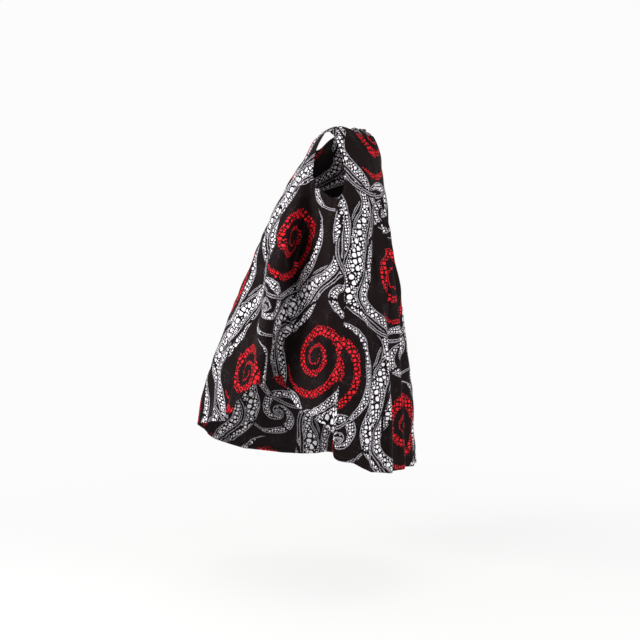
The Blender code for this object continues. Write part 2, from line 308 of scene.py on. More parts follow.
# Dots: spacing, how far from a band's middle line they reach, the least half width they fill,
# and half the gap to the next dot in spacings
DOTS = (
    # spacing, reach, least_half_width, half_gap
    (0.0205, 0.42, 0.019, 0.130),
    (0.0140, 0.62, 0.010, 0.170),
    (0.0092, 0.82, 0.005, 0.195),
    (0.0058, 1.00, 0.0015, 0.190),
)

# Border of a light band: a stippled strip beside it, from the band's edge outwards
STIPPLE_START = 0.0014
STIPPLE_END = 0.0047
STIPPLE_PITCH = 0.0027
STIPPLE_RADIUS = 0.40

# Hand of the print: the motifs stray from their true curves by up to 6 mm in waves of some 110 mm
STRAY_SCALE = 9.0
STRAY_REACH = 0.006

# Cloth: pitch and relief of the plain weave, and the dry, dull finish of the cotton. The weave
# repeats after two threads, which lie about 0.45 mm apart. It is kept at its real size, so it shows
# from close by and only dulls the cloth from the camera
WEAVE_PITCH = 0.0009
WEAVE_BUMP = 0.35
WEAVE_DEPTH = 0.00012
COTTON_ROUGHNESS = 0.56
ROUGHNESS_SPREAD = 0.04
COTTON_SPECULAR = 0.035
SHEEN = 0.006
SHEEN_ROUGHNESS = 0.45

# Unevenness of the dye in patches of some 45 mm, the veins of cracked wax, 0.2 mm wide on cells
# of some 19 mm, and how much paler the inside is. The scales are per metre
DYE_SCALE = 22.0
DYE_DETAIL = 3.0
DYE_RANGE = (0.3, 0.7)
DYE_SPREAD = 0.14
VEIN_SCALE = 52.0
VEIN_WIDTH = 0.0002
VEIN_PATCH = 0.56
VEIN_STRENGTH = 0.10
INSIDE_FADE = 0.01

# Shape of a dot, in spacings: its largest radius, how round its corners are, how far from it no
# smaller dot is set, and how far the dots stray from even rows
DOT_RADIUS = 0.40
DOT_ROUNDING = 0.12
DOT_CLEAR = 0.72
DOT_SCATTER = 0.46

# Settings of a flat pattern of cells: read from their centres, and from their edges
FLAT_CELLS = {"voronoi_dimensions": "2D"}
FLAT_EDGES = {"voronoi_dimensions": "2D", "feature": "DISTANCE_TO_EDGE"}

# Thread: its two shades, and the relief of its twist, which is about 0.4 mm long
THREAD_DARK = 0x17120F
THREAD_LIGHT = 0x3A3333
THREAD_ROUGHNESS = 0.45
TWIST_SCALE = 2600.0
TWIST_BUMP = 0.3
TWIST_DEPTH = 0.0001

# Surround: colour and strength of the even light all round
SURROUND = 0xFCFCFC
SURROUND_STRENGTH = 0.46

# Floor: half its width, how dull it is, the distances over which it comes to glow fully in the
# surround's colour and so fades into it, the share of that glow at its middle, which is painted
# light that pales the dress's shadow on it, and the colour that lends nothing to a fade
FLOOR_REACH = 60.0
FLOOR_ROUGHNESS = 0.9
FADE_START = 0.2
FADE_END = 2.6
FLOOR_GLOW_LEAST = 0.35
BLACK = (0.0, 0.0, 0.0, 1.0)

# Camera: width of its sensor in millimetres, and the direction that is up
SENSOR_WIDTH = 36.0
UP = np.array((0.0, 0.0, 1.0))

# Lights: place across, towards the camera and up from the target, size and power
LIGHTS = (
    # name, across, towards, height, size, power
    ("key_light", -3.2, 1.7, 1.4, 1.3, 145.0),
    ("fill_light", 3.0, 2.0, 0.9, 1.6, 62.0),
    ("top_light", 0.0, 0.2, 3.4, 2.6, 30.0),
)


def linear(colour):
    """Linear colour of an sRGB hex value."""
    parts = [(colour >> shift & 255) / 255.0 for shift in (16, 8, 0)]
    return tuple(c / 12.92 if c <= 0.04045 else ((c + 0.055) / 1.055) ** 2.4 for c in parts)


def opaque(colour):
    """Colour with its alpha, as a shader's sockets take it."""
    return (*colour, 1.0)


def wrapped(angle):
    """Angle brought into -180 to 180."""
    return (np.asarray(angle, dtype=float) + 180.0) % 360.0 - 180.0


def smooth_step(value):
    """Ease from 0 to 1 without corners."""
    value = np.clip(value, 0.0, 1.0)
    return value * value * (3.0 - 2.0 * value)


def curve_through(at, values, places):
    """Smooth curve through a table's values, read at the given places."""
    at = np.asarray(at, dtype=float)
    values = np.asarray(values, dtype=float)
    slopes = np.gradient(values, at)
    places = np.clip(places, at[0], at[-1])
    step = np.clip(np.searchsorted(at, places, side="right") - 1, 0, len(at) - 2)
    width = at[step + 1] - at[step]
    t = (places - at[step]) / width
    return (
        (2 * t**3 - 3 * t**2 + 1) * values[step]
        + (t**3 - 2 * t**2 + t) * width * slopes[step]
        + (-2 * t**3 + 3 * t**2) * values[step + 1]
        + (t**3 - t**2) * width * slopes[step + 1]
    )


def section_size(column, height):
    """One column of the sections table at a height."""
    rows = sorted(SECTIONS)
    return curve_through([row[0] for row in rows], [row[column] for row in rows], height)


def section_reach(turn, height):
    """Half width and depth of the section on the side that a direction in radians points to."""
    across = np.where(np.sin(turn) > 0.0, section_size(LEFT, height), section_size(RIGHT, height))
    along = np.where(np.cos(turn) > 0.0, section_size(FRONT, height), section_size(BACK, height))
    return across, along


def hem_height(angle):
    """Height of the hem at an angle, on a curve that closes round the dress."""
    turns = (-360.0, 0.0, 360.0)
    at = [row[0] + turn for turn in turns for row in HEM]
    heights = [row[1] for _ in turns for row in HEM]
    return curve_through(at, heights, np.asarray(angle, dtype=float) % 360.0)


def fold_shift(angle, height):
    """How far the folds move the cloth outwards and round the dress."""
    out_total = np.zeros(np.broadcast(angle, height).shape)
    sway_total = np.zeros_like(out_total)
    for _, crest, start, full, half_width, out, sway in FOLDS:
        travel = smooth_step((start - height) / (start - full))
        away = np.clip(wrapped(angle - crest) / half_width, -1.0, 1.0)
        lobe = 0.5 + 0.5 * np.cos(math.pi * away)
        out_total = out_total + out * travel * lobe
        sway_total = sway_total + sway * travel * lobe
    return out_total, sway_total


def section_turn(angle, height):
    """Turn round the section's oval, in radians, of the point that lies at an angle."""
    direction = np.radians(angle)
    across, along = section_reach(direction, height)
    turn = np.arctan2(np.sin(direction) / across, np.cos(direction) / along)
    return turn + 2.0 * math.pi * np.round((direction - turn) / (2.0 * math.pi))


def shoulder_round(x, height):
    """Share of its full depth that the cloth has below the slope of the shoulder."""
    slope = NECK_RISE / (SHOULDER_TIP_X - NECK_HALF_WIDTH)
    below = NECK_RISE - (np.abs(x) - NECK_HALF_WIDTH) * slope - height
    share = np.clip(below / SHOULDER_FALL, 0.0, 1.0)
    return np.sqrt(1.0 - (1.0 - share) ** 2)


def cloth_point(angle, turn, height):
    """Plan position of the cloth at a turn round its oval, moved by the folds at its angle."""
    across, along = section_reach(turn, height)
    out, sway = fold_shift(angle, height)
    direction = np.radians(angle)
    x = across * np.sin(turn)
    y = -along * shoulder_round(x, height) * np.cos(turn)
    x = x + out * np.sin(direction) + sway * np.cos(direction)
    y = y - out * np.cos(direction) + sway * np.sin(direction)
    return x, y


def neckline_start(half, share):
    """Height, turn and ease of a column that starts a share of the way round the neckline."""
    quarter = 0.5 * math.pi * share
    drop = FRONT_NECK_DROP if half.middle == 0.0 else BACK_NECK_DROP
    height = NECK_RISE - (drop + NECK_RISE) * math.cos(quarter) ** NECK_CURVE
    turn = math.asin(NECK_HALF_WIDTH * math.sin(quarter) / section_size(LEFT, height))
    return height, turn, share**2


def shoulder_start(share):
    """Height, turn and ease of a column that starts a share of the way down the shoulder seam."""
    height = NECK_RISE * (1.0 - share)
    half_width = NECK_HALF_WIDTH + (SHOULDER_TIP_X - NECK_HALF_WIDTH) * share
    return height, math.asin(half_width / section_size(LEFT, height)), 1.0


def armhole_start(half, share):
    """Height, turn and ease of a column that starts a share of the way down the armhole."""
    quarter = 0.5 * math.pi * share
    height = -ARMHOLE_DEPTH * math.sin(quarter)
    tip = math.asin(SHOULDER_TIP_X / section_size(LEFT, 0.0))
    turn = tip + (math.radians(half.underarm) - tip) * (1.0 - math.cos(quarter))
    turn = turn - math.radians(half.pull) * math.sin(2.0 * quarter)
    return height, turn, 1.0


def column_start(half, away):
    """Where a column starts on a half panel's top edge: height, turn from the middle, and ease."""
    if away <= half.neck:
        return neckline_start(half, away / half.neck)
    if away <= half.tip:
        return shoulder_start((away - half.neck) / (half.tip - half.neck))
    share = ((away - half.tip) / (half.seam - half.tip)) ** ARMHOLE_CROWDING
    return armhole_start(half, share)


def distances(points):
    """Distance of each point of a line from its start, along the line."""
    steps = np.linalg.norm(np.diff(points, axis=0), axis=1)
    return np.concatenate(((0.0,), np.cumsum(steps)))


def column_cloth(half, away, height, start):
    """Mid-surface points of a column at some heights below its start."""
    top, top_turn, ease = start
    angle = half.middle + half.side * away
    rest = 1.0 - np.sqrt(np.clip((top - height) / (top - CHEST_HEIGHT), 0.0, 1.0))
    lead = smooth_step(rest) + ease * (rest**2 - smooth_step(rest))
    turn = section_turn(angle, np.minimum(height, CHEST_HEIGHT))
    turn = turn + (math.radians(half.middle) + half.side * top_turn - turn) * lead
    x, y = cloth_point(angle, turn, height)
    return np.stack((x, y, height), axis=-1)


def row_places(length):
    """Distances down a column of its rows of points, close together at the two edges."""
    steps = np.linspace(0.0, 1.0, MIDDLE_ROWS + 2)[1:-1] ** ROW_CROWDING
    low = length - HEM_ROWS[0]
    middle = TOP_ROWS[-1] + (low - TOP_ROWS[-1]) * steps
    return np.concatenate((TOP_ROWS, middle, length - np.array(HEM_ROWS)))


def column_points(half, away):
    """Points down one column from top edge to hem, and their distances from the top edge."""
    start = column_start(half, away)
    hem = float(hem_height(half.middle + half.side * away))
    fine = start[0] + (hem - start[0]) * np.linspace(0.0, 1.0, COLUMN_STEPS) ** 2
    along = distances(column_cloth(half, away, fine, start))
    places = row_places(along[-1])
    return column_cloth(half, away, np.interp(places, along, fine), start), places


def even_angles(half, start, end, count, crowding=1.0):
    """Angles away from the middle that part the cloth evenly at the spacing height."""
    fine = np.linspace(start, end, RING_STEPS)
    angle = half.middle + half.side * fine
    height = np.full_like(fine, SPACING_HEIGHT)
    x, y = cloth_point(angle, section_turn(angle, height), height)
    along = distances(np.stack((x, y), axis=-1))
    return np.interp(along[-1] * (np.arange(count + 1) / count) ** crowding, along, fine)


def half_angles(half):
    """Angles away from the middle of a half panel's columns."""
    neck = even_angles(half, 0.0, half.neck, half.neck_columns)
    shoulder = np.linspace(half.neck, half.tip, SHOULDER_COLUMNS + 1)
    side = even_angles(half, half.tip, half.seam, half.side_columns, TIP_CROWDING)
    near_seam = [side[-2] + (side[-1] - side[-2]) * share for share in SEAM_STEPS]
    return [*neck, *shoulder[1:], *side[1:-1], *near_seam, side[-1]]


class ClothPanel:
    """Grid of a panel's mid surface, one column for each angle and one row for each step down."""

    def __init__(self, low_half, high_half):
        low = [(low_half, away) for away in half_angles(low_half)[:0:-1]]
        high = [(high_half, away) for away in half_angles(high_half)]
        columns = [column_points(half, away) for half, away in low + high]
        self.points = np.array([points for points, _ in columns])
        self.from_top = np.array([places for _, places in columns])
        self.from_hem = self.from_top[:, -1:] - self.from_top
        self.angle = np.array([half.middle + half.side * away for half, away in low + high])
        low_neck = low_half.side_columns + len(SEAM_STEPS) + SHOULDER_COLUMNS
        high_neck = low_neck + low_half.neck_columns + high_half.neck_columns
        self.middle = low_neck + low_half.neck_columns
        self.shoulders = (
            [low_neck - step for step in range(SHOULDER_COLUMNS + 1)],
            [high_neck + step for step in range(SHOULDER_COLUMNS + 1)],
        )


def unit(vectors):
    """Vectors scaled to a length of one."""
    return vectors / np.linalg.norm(vectors, axis=-1, keepdims=True)


def summed_normals(grid):
    """Sum, at each point of a panel's grid, of the outward normals of the faces around it."""
    across = grid[1:, 1:] - grid[:-1, :-1]
    down = grid[:-1, 1:] - grid[1:, :-1]
    faces = np.cross(down, across)
    total = np.zeros_like(grid)
    for columns in (slice(None, -1), slice(1, None)):
        for rows in (slice(None, -1), slice(1, None)):
            total[columns, rows] += faces
    return total


def join_normals(front, back, front_sums, back_sums):
    """Give the two sides of each seam the same normals, so that the cut edges lie parallel."""
    seams = (
        ((-1, slice(None)), (0, slice(None))),
        ((0, slice(None)), (-1, slice(None))),
        ((front.shoulders[1], 0), (back.shoulders[0], 0)),
        ((front.shoulders[0], 0), (back.shoulders[1], 0)),
    )
    for front_at, back_at in seams:
        both = front_sums[front_at] + back_sums[back_at]
        front_sums[front_at] = both
        back_sums[back_at] = both


def add_object(name, data):
    """Put a new object into the scene."""
    made = bpy.data.objects.new(name, data)
    bpy.context.scene.collection.objects.link(made)
    return made


def coarse_index(count):
    """Rows or columns of a grid at the coarse step, and the last one."""
    return np.unique(np.append(np.arange(0, count, COARSE_STEP), count - 1))


def flat_cut(panel):
    """Flat places in metres of a panel's points as the cloth was cut, the middle line upright."""
    columns = coarse_index(panel.points.shape[0])
    rows = coarse_index(panel.points.shape[1])
    coarse = panel.points[np.ix_(columns, rows)]
    count = len(rows)
    faces = [
        (c * count + r, c * count + r + 1, (c + 1) * count + r + 1, (c + 1) * count + r)
        for c in range(len(columns) - 1)
        for r in range(count - 1)
    ]
    mesh = bpy.data.meshes.new("flat_cut")
    mesh.from_pydata(coarse.reshape(-1, 3).tolist(), [], faces)
    cut = add_object("flat_cut", mesh)
    bpy.context.view_layer.objects.active = cut
    cut.select_set(True)
    bpy.ops.object.mode_set(mode="EDIT")
    bpy.ops.mesh.select_all(action="SELECT")
    bpy.ops.uv.unwrap(method="MINIMUM_STRETCH", fill_holes=False, margin=0.0)
    bpy.ops.object.mode_set(mode="OBJECT")
    spread = np.zeros(2 * len(mesh.loops))
    mesh.uv_layers.active.data.foreach_get("uv", spread)
    corners = np.zeros(len(mesh.loops), dtype=int)
    mesh.loops.foreach_get("vertex_index", corners)
    flat = np.zeros((len(mesh.vertices), 2))
    flat[corners] = spread.reshape(-1, 2)
    bpy.data.objects.remove(cut)
    bpy.data.meshes.remove(mesh)
    flat = flat.reshape(len(columns), count, 2)
    flat = flat * math.sqrt(cloth_area(coarse) / cloth_area(flat))
    middle = int(np.argmin(np.abs(columns - panel.middle)))
    hang = flat[middle, -1] - flat[middle, 0]
    turn = -0.5 * math.pi - math.atan2(hang[1], hang[0])
    turned = np.array(((math.cos(turn), math.sin(turn)), (-math.sin(turn), math.cos(turn))))
    flat = (flat - flat[middle, 0]) @ turned
    return spread_out(spread_out(flat, columns, 0), rows, 1)


def spread_out(values, places, axis):
    """Values of a coarse grid read at every place along one of its axes."""
    every = np.arange(places[-1] + 1)
    low = np.clip(np.searchsorted(places, every, side="right") - 1, 0, len(places) - 2)
    share = (every - places[low]) / (places[low + 1] - places[low])
    share = share.reshape([-1 if k == axis else 1 for k in range(values.ndim)])
    return np.take(values, low, axis) * (1.0 - share) + np.take(values, low + 1, axis) * share


def cloth_area(grid):
    """Area of a grid of points in the flat or in the round."""
    corner, across = grid[:-1, :-1], grid[1:, 1:]
    total = 0.0
    for a, b in ((grid[:-1, 1:], across), (across, grid[1:, :-1])):
        cross = np.cross(a - corner, b - corner)
        size = np.abs(cross) if cross.ndim == 2 else np.linalg.norm(cross, axis=-1)
        total += 0.5 * float(size.sum())
    return total


def crease_shift(angle, points):
    """How far the creases move a panel's points out along the cloth's normals."""
    reach = np.hypot(points[..., 0], points[..., 1])
    total = np.zeros(points.shape[:2])
    for _, start_angle, start, end_angle, end, half_width, depth in CREASES:
        middle, reach_z = 0.5 * (start + end), 0.5 * abs(start - end) + CREASE_MARGIN
        near = np.abs(points[..., 2] - middle) < reach_z
        radius = float(reach[near].mean())
        along = np.array((math.radians(end_angle - start_angle) * radius, end - start))
        length = float(np.linalg.norm(along))
        away_x = np.radians(wrapped(angle - start_angle))[:, None] * reach
        away_z = points[..., 2] - start
        share = (away_x * along[0] + away_z * along[1]) / length**2
        across = (away_x * along[1] - away_z * along[0]) / length
        fade = smooth_step(share / CREASE_START) * smooth_step((1.0 - share) / CREASE_END)
        total += depth * fade * np.exp(-(np.abs(across / half_width) ** CREASE_SHARPNESS))
    return total


def ripple(flat):
    """Slight unevenness of worn cotton, as a height over the flat cloth."""
    u, v = flat[..., 0], flat[..., 1]
    total = np.zeros(u.shape)
    for length, turn, phase, height in RIPPLES:
        slope = math.radians(turn)
        travel = (u * math.cos(slope) + v * math.sin(slope)) * 2.0 * math.pi / length
        wander = RIPPLE_WANDER * np.sin(RIPPLE_PACE * travel + 2.0 * phase)
        total += height * np.sin(travel + phase + wander)
    return total


def seam_distance(panel):
    """Distance of each point from the nearer side seam, and from the top edge at a shoulder."""
    steps = np.linalg.norm(np.diff(panel.points, axis=0), axis=-1)
    from_low = np.concatenate((np.zeros((1, steps.shape[1])), np.cumsum(steps, axis=0)))
    nearest = np.minimum(from_low, from_low[-1:] - from_low)
    for columns in panel.shoulders:
        nearest[columns] = np.minimum(nearest[columns], panel.from_top[columns])
    return nearest


def shaped_cloth(front, back, sizes):
    """Add the creases, ripples and drawn-in seams to both panels, and give their normals."""
    for panel in (front, back):
        normals = unit(summed_normals(panel.points))
        shift = crease_shift(panel.angle, panel.points) + ripple(panel.flat)
        calm = smooth_step(seam_distance(panel) / sizes.seam_calm)
        pinch = sizes.seam_dip * np.exp(-((seam_distance(panel) / (2.0 * sizes.seam_dip)) ** 2))
        panel.points = panel.points + (shift * calm - pinch)[..., None] * normals
    front_sums, back_sums = summed_normals(front.points), summed_normals(back.points)
    join_normals(front, back, front_sums, back_sums)
    return unit(front_sums), unit(back_sums)


def open_seams(panel, gap):
    """Points of a panel with its sewn edges drawn back by half of the gap at a seam."""
    grid = panel.points
    opened = grid.copy()
    opened[0] += 0.5 * gap * unit(grid[1] - grid[0])
    opened[-1] += 0.5 * gap * unit(grid[-2] - grid[-1])
    for columns in panel.shoulders:
        opened[columns, 0] += 0.5 * gap * unit(grid[columns, 1] - grid[columns, 0])
    return opened


def wall(panel, sizes):
    """Distances of a panel's outer and inner face from its mid surface, thicker where turned in."""
    half = 0.5 * sizes.thickness
    turned = (panel.from_hem < HEM_ROWS[1] - ROW_SLACK).astype(float)
    edge = panel.from_top < TOP_ROWS[-1] - ROW_SLACK
    for columns in panel.shoulders:
        edge[columns[1:-1]] = False
    turned = np.maximum(turned, edge)
    outer = np.full(panel.from_top.shape, half)
    inner = half + sizes.thickness * turned
    middle, reach = 0.5 * (outer - inner), 0.5 * (outer + inner)
    for rows in (0, -1):
        outer[:, rows] = (middle + EDGE_ROUNDING * reach)[:, rows]
        inner[:, rows] = -(middle - EDGE_ROUNDING * reach)[:, rows]
    return outer, inner


def stitch_lines(panel, normals, sizes):
    """Lines of stitching on a panel's outer face: along the hem, the neckline and both armholes."""
    outside = panel.points + (0.5 * sizes.thickness) * normals
    rise = (HEM_ROWS[2] - sizes.hem_stitch) / (HEM_ROWS[2] - HEM_ROWS[3])
    hem = outside[:, -4] * (1.0 - rise) + outside[:, -3] * rise
    fall = (sizes.edge_stitch - TOP_ROWS[2]) / (TOP_ROWS[3] - TOP_ROWS[2])
    top = outside[:, 2] * (1.0 - fall) + outside[:, 3] * fall
    low, high = panel.shoulders
    return hem, top[: low[-1] + 1], top[low[0] : high[0] + 1], top[high[-1] :]


def stitch_tree():
    """Geometry nodes: a short thread lies on each step of the lines."""
    tree = bpy.data.node_groups.new("stitch_row", "GeometryNodeTree")
    sockets = (
        ("Lines", "NodeSocketGeometry"),
        ("Pitch", "NodeSocketFloat"),
        ("Length", "NodeSocketFloat"),
        ("Width", "NodeSocketFloat"),
        ("Thread", "NodeSocketMaterial"),
    )
    for name, kind in sockets:
        tree.interface.new_socket(name, in_out="INPUT", socket_type=kind)
    tree.interface.new_socket("Stitches", in_out="OUTPUT", socket_type="NodeSocketGeometry")
    start = add_node(tree, "NodeGroupInput").outputs
    end = add_node(tree, "NodeGroupOutput")
    line = add_node(tree, "GeometryNodeMeshToCurve", {"Mesh": start["Lines"]}).outputs[0]
    inputs = {"Curve": line, "Length": start["Pitch"]}
    steps = add_node(tree, "GeometryNodeCurveToPoints", inputs, mode="LENGTH").outputs
    inputs = {"Segments": STITCH_SIDES, "Rings": STITCH_RINGS, "Radius": 0.5}
    bead = add_node(tree, "GeometryNodeMeshUVSphere", inputs).outputs["Mesh"]
    inputs = {0: start["Width"], 1: start["Width"], 2: start["Length"]}
    size = add_node(tree, "ShaderNodeCombineXYZ", inputs).outputs[0]
    inputs = {"Geometry": bead, "Scale": size}
    stitch = add_node(tree, "GeometryNodeTransform", inputs).outputs[0]
    inputs = {"Points": steps["Points"], "Instance": stitch, "Rotation": steps["Rotation"]}
    row = add_node(tree, "GeometryNodeInstanceOnPoints", inputs).outputs[0]
    made = add_node(tree, "GeometryNodeRealizeInstances", {"Geometry": row}).outputs[0]
    inputs = {"Geometry": made, "Material": start["Thread"]}
    dressed = add_node(tree, "GeometryNodeSetMaterial", inputs).outputs[0]
    tree.links.new(dressed, end.inputs[0])
    return tree


def add_stitches(name, lines, sizes, thread):
    """Make the stitches along a panel's lines as one plain mesh."""
    points = np.concatenate(lines)
    edges = []
    for line in lines:
        first = 0 if not edges else edges[-1][1] + 1
        edges += [(first + k, first + k + 1) for k in range(len(line) - 1)]
    guide = bpy.data.meshes.new("stitch_guide")
    guide.from_pydata(points.tolist(), edges, [])
    holder = add_object("stitch_guide", guide)
    rows = holder.modifiers.new("stitch_row", "NODES")
    rows.node_group = bpy.data.node_groups.get("stitch_row") or stitch_tree()
    wanted = {
        "Pitch": sizes.stitch_pitch,
        "Length": sizes.stitch_length,
        "Width": sizes.stitch_width,
        "Thread": thread,
    }
    for socket in rows.node_group.interface.items_tree:
        if socket.in_out == "INPUT" and socket.name in wanted:
            rows[socket.identifier] = wanted[socket.name]
    evaluated = holder.evaluated_get(bpy.context.evaluated_depsgraph_get())
    mesh = bpy.data.meshes.new_from_object(evaluated)
    bpy.data.objects.remove(holder)
    bpy.data.meshes.remove(guide)
    mesh.name = name
    mesh.shade_smooth()
    return add_object(name, mesh)


def add_cloth(name, panel, normals, sizes, materials):
    """Make a panel's closed shell with its flat cut as UV map, in metres."""
    columns, rows = panel.points.shape[:2]
    grid = open_seams(panel, sizes.seam_gap)
    outer, inner = wall(panel, sizes)
    layers = (grid + outer[..., None] * normals, grid - inner[..., None] * normals)
    points = np.concatenate([layer.reshape(-1, 3) for layer in layers])
    layer = columns * rows
    a = (np.arange(columns - 1)[:, None] * rows + np.arange(rows - 1)).reshape(-1, 1)
    cells = np.hstack((a, a + 1, a + rows + 1, a + rows))
    top = [column * rows for column in range(columns)]
    hem = [column * rows + rows - 1 for column in range(columns)]
    low_side = list(range(rows))
    high_side = [(columns - 1) * rows + row for row in range(rows)]
    outline = np.array(top[::-1] + low_side[1:] + hem[1:] + high_side[-2:0:-1])
    after = np.roll(outline, -1)
    rim = np.stack((outline, layer + outline, layer + after, after), axis=-1)
    faces = np.vstack((cells, layer + cells[:, ::-1], rim))
    mesh = bpy.data.meshes.new(name)
    mesh.from_pydata(points.tolist(), [], faces.tolist())
    flat = np.concatenate((panel.flat.reshape(-1, 2), panel.flat.reshape(-1, 2)))
    cut = mesh.uv_layers.new(name="flat_cut")
    cut.data.foreach_set("uv", flat[faces.reshape(-1)].reshape(-1))
    inside = np.zeros(len(faces), dtype=int)
    inside[len(cells) : 2 * len(cells)] = 1
    for material in materials:
        mesh.materials.append(material)
    mesh.polygons.foreach_set("material_index", inside)
    mesh.shade_smooth()
    mesh.set_sharp_from_angle(angle=math.radians(SHARP_ANGLE))
    return add_object(name, mesh)


def add_node(tree, kind, inputs=None, **settings):
    """Add a node with its settings, and link each of its inputs to a socket or give it a value.
    A Mix node's inputs go by number: its share is 0, its vectors 4 and 5, its colours 6 and 7."""
    made = tree.nodes.new(kind)
    for key, value in settings.items():
        setattr(made, key, value)
    for key, value in (inputs or {}).items():
        if isinstance(value, bpy.types.NodeSocket):
            tree.links.new(value, made.inputs[key])
        else:
            made.inputs[key].default_value = value
    return made


def new_material(name):
    """Empty material and its shader."""
    material = bpy.data.materials.new(name)
    material.use_nodes = True
    return material, material.node_tree, material.node_tree.nodes["Principled BSDF"]


def formula(tree, steps, values):
    """Add a Math node for each step of a table. A step reads the given values and earlier results
    by their names, and all of them are given back."""
    values = dict(values)
    for name, operation, *terms in steps:
        read = [values[term] if isinstance(term, str) else term for term in terms]
        made = add_node(tree, "ShaderNodeMath", dict(enumerate(read)), operation=operation)
        values[name] = made.outputs[0]
    return values


def repeat_steps(across, up):
    """Place x, y in the half-drop repeat, measured from a motif's centre."""
    return (
        ("beyond", "SUBTRACT", "u", across),
        ("x", "WRAP", "beyond", 0.5 * REPEAT_WIDTH, -0.5 * REPEAT_WIDTH),
        ("repeats", "SUBTRACT", "beyond", "x"),
        ("dropped", "MULTIPLY_ADD", "repeats", -0.5 * REPEAT_LENGTH / REPEAT_WIDTH, "v"),
        ("above", "SUBTRACT", "dropped", up),
        ("y", "WRAP", "above", 0.5 * REPEAT_LENGTH, -0.5 * REPEAT_LENGTH),
    )


def turned_steps(lean, stretch):
    """Direction from a motif's centre and logarithm of the distance, leant over and stretched."""
    slope = math.radians(lean)
    return (
        ("x_across", "MULTIPLY", "x", math.cos(slope)),
        ("x_leant", "MULTIPLY_ADD", "y", math.sin(slope), "x_across"),
        ("y_across", "MULTIPLY", "x", -math.sin(slope) / stretch),
        ("y_leant", "MULTIPLY_ADD", "y", math.cos(slope) / stretch, "y_across"),
        ("turn", "ARCTAN2", "y_leant", "x_leant"),
        ("x_square", "MULTIPLY", "x_leant", "x_leant"),
        ("square", "MULTIPLY_ADD", "y_leant", "y_leant", "x_square"),
        ("double_log", "LOGARITHM", "square", math.e),
        ("log", "MULTIPLY", "double_log", 0.5),
    )


def arm_steps(arm):
    """Spiral arm: how far away its middle line is, in half widths, and its half width in metres."""
    lean = math.hypot(1.0, 1.0 / arm.winding)
    low, high = math.log(arm.start), math.log(arm.end)
    return (
        ("wound", "MULTIPLY_ADD", "log", arm.winding, math.radians(arm.turn)),
        ("past", "SUBTRACT", "wound", "turn"),
        ("off", "WRAP", "past", math.pi, -math.pi),
        ("line", "MULTIPLY_ADD", "off", -1.0 / arm.winding, "log"),
        ("share", "MULTIPLY_ADD", "line", 1.0 / (high - low), -low / (high - low)),
        ("rise", "MULTIPLY", "share", 1.0 / arm.peak),
        ("left", "SUBTRACT", 1.0, "share"),
        ("fall", "MULTIPLY", "left", 1.0 / (1.0 - arm.peak)),
        ("least", "MINIMUM", "rise", "fall"),
        ("kept", "MAXIMUM", "least", ARM_LEAST),
        ("full", "POWER", "kept", ARM_TAPER),
        ("spread", "MULTIPLY", "full", arm.width * lean),
        ("turned_off", "ABSOLUTE", "off"),
        ("across", "MULTIPLY", "turned_off", 1.0 / abs(arm.winding)),
        ("away", "DIVIDE", "across", "spread"),
        ("reach", "EXPONENT", "line"),
        ("widest", "MULTIPLY", "reach", arm.width),
        ("half_width", "MULTIPLY", "widest", "full"),
    )


def wave_steps():
    """Waving band between the columns of scrolls, and the narrower band beside it."""
    wave = 2.0 * math.pi / REPEAT_LENGTH
    swell = (WAVE_SWELL * WAVE_HALF_WIDTH, (1.0 - WAVE_SWELL) * WAVE_HALF_WIDTH)
    side_swell = (SIDE_SWELL * SIDE_HALF_WIDTH, (1.0 - SIDE_SWELL) * SIDE_HALF_WIDTH)
    return (
        ("turn", "MULTIPLY", "dropped", wave),
        ("cosine", "COSINE", "turn"),
        ("sine", "SINE", "turn"),
        ("twice", "MULTIPLY", "turn", 2.0),
        ("twice_cosine", "COSINE", "twice"),
        ("twice_sine", "SINE", "twice"),
        ("skew", "MULTIPLY", "twice_sine", WAVE_SKEW),
        ("line", "MULTIPLY_ADD", "cosine", WAVE_BOW, "skew"),
        ("skew_lean", "MULTIPLY", "twice_cosine", 2.0 * WAVE_SKEW * wave),
        ("lean", "MULTIPLY_ADD", "sine", -WAVE_BOW * wave, "skew_lean"),
        ("square", "MULTIPLY_ADD", "lean", "lean", 1.0),
        ("slope", "INVERSE_SQRT", "square"),
        ("beside", "SUBTRACT", "x", "line"),
        ("off", "MULTIPLY", "beside", "slope"),
        ("across", "ABSOLUTE", "off"),
        ("late", "ADD", "turn", WAVE_PHASE),
        ("swell", "COSINE", "late"),
        ("half_width", "MULTIPLY_ADD", "swell", *swell),
        ("away", "DIVIDE", "across", "half_width"),
        ("side_late", "ADD", "turn", SIDE_PHASE),
        ("side_swell", "COSINE", "side_late"),
        ("side_half_width", "MULTIPLY_ADD", "side_swell", *side_swell),
        ("both", "ADD", "half_width", "side_half_width"),
        ("side_line", "ADD", "both", SIDE_GAP),
        ("side_off", "SUBTRACT", "off", "side_line"),
        ("side_across", "ABSOLUTE", "side_off"),
        ("side_away", "DIVIDE", "side_across", "side_half_width"),
    )


